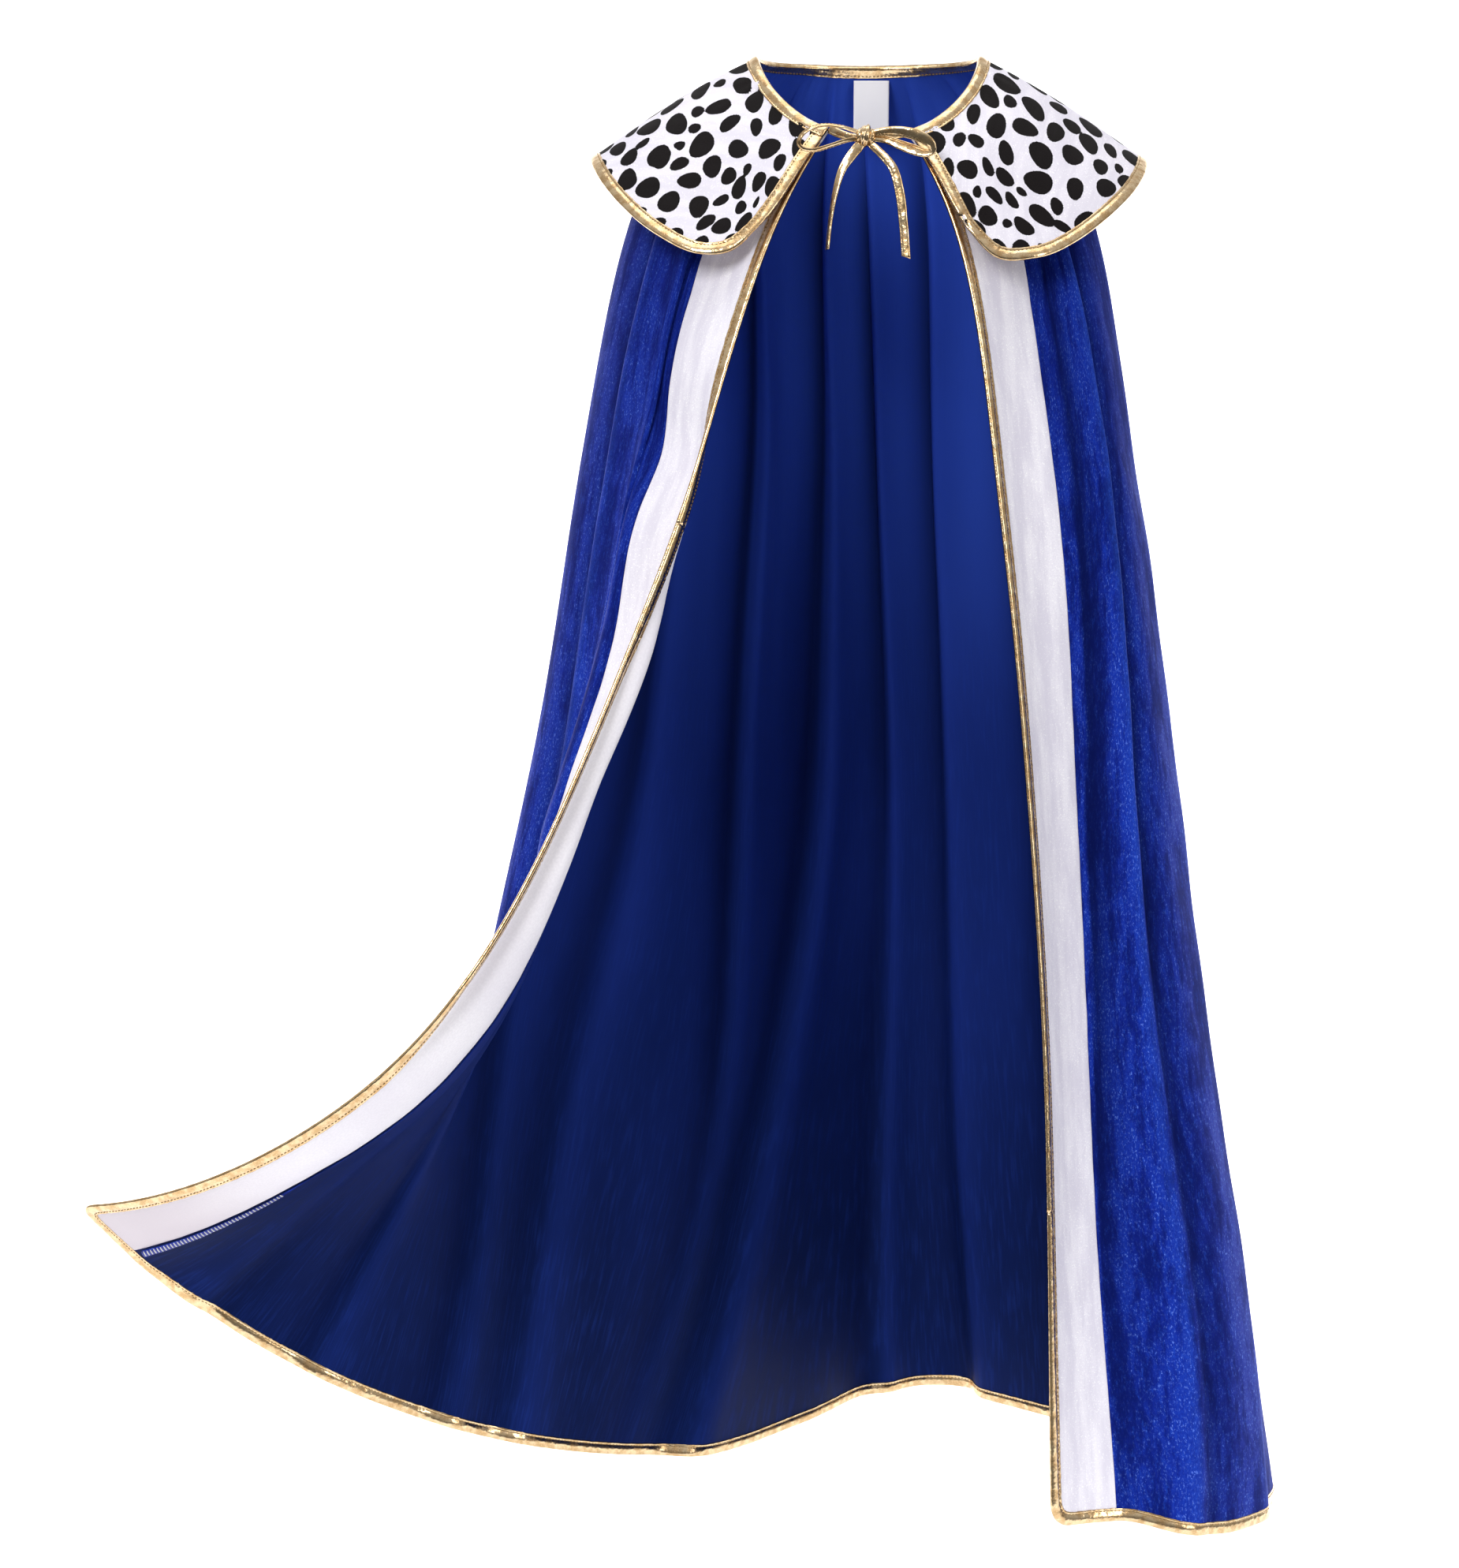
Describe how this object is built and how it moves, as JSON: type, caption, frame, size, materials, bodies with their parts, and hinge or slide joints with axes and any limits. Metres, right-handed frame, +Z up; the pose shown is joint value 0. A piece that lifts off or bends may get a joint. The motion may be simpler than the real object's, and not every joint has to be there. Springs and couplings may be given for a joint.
{
  "type": "king cape",
  "caption": "Child's king costume cape worn open and swept to one side: blue crushed velvet, white front bands, flat white spotted collar, gold tape on every edge and a gold tape bow.",
  "frame": {"origin": "middle of the neck opening, on the upright line through the wearer's neck", "axes": "+Z up; -Y is the front, where the cape is open; +X is to the wearer's left, so the swept side is at -X"},
  "size_m": [0.8159, 0.4796, 1.0098],
  "materials": {
    "blue_velvet": "royal blue crushed velvet outside, smooth navy reverse inside",
    "white_velour": "white velour with fine silver sparkle, smooth pale grey reverse",
    "spotted_velour": "white velour with irregular black spots and fine silver sparkle",
    "gold_tape": "bright gold foil tape, folded and stitched",
    "label_satin": "plain white woven satin"
  },
  "bodies": {
    "root": {"cape_body": "blue_velvet", "band_right": "white_velour", "band_left": "white_velour", "collar": "spotted_velour", "binding_neck": "gold_tape", "binding_collar": "gold_tape", "binding_front_right": "gold_tape", "binding_front_left": "gold_tape", "binding_hem": "gold_tape", "bow_knot": "gold_tape", "label_neck": "label_satin", "tie_link_right": "gold_tape", "tie_link_left": "gold_tape", "bow_loop_right": "gold_tape", "bow_loop_left": "gold_tape", "tie_tail_right": "gold_tape", "tie_tail_left": "gold_tape"}
  },
  "joints": []
}
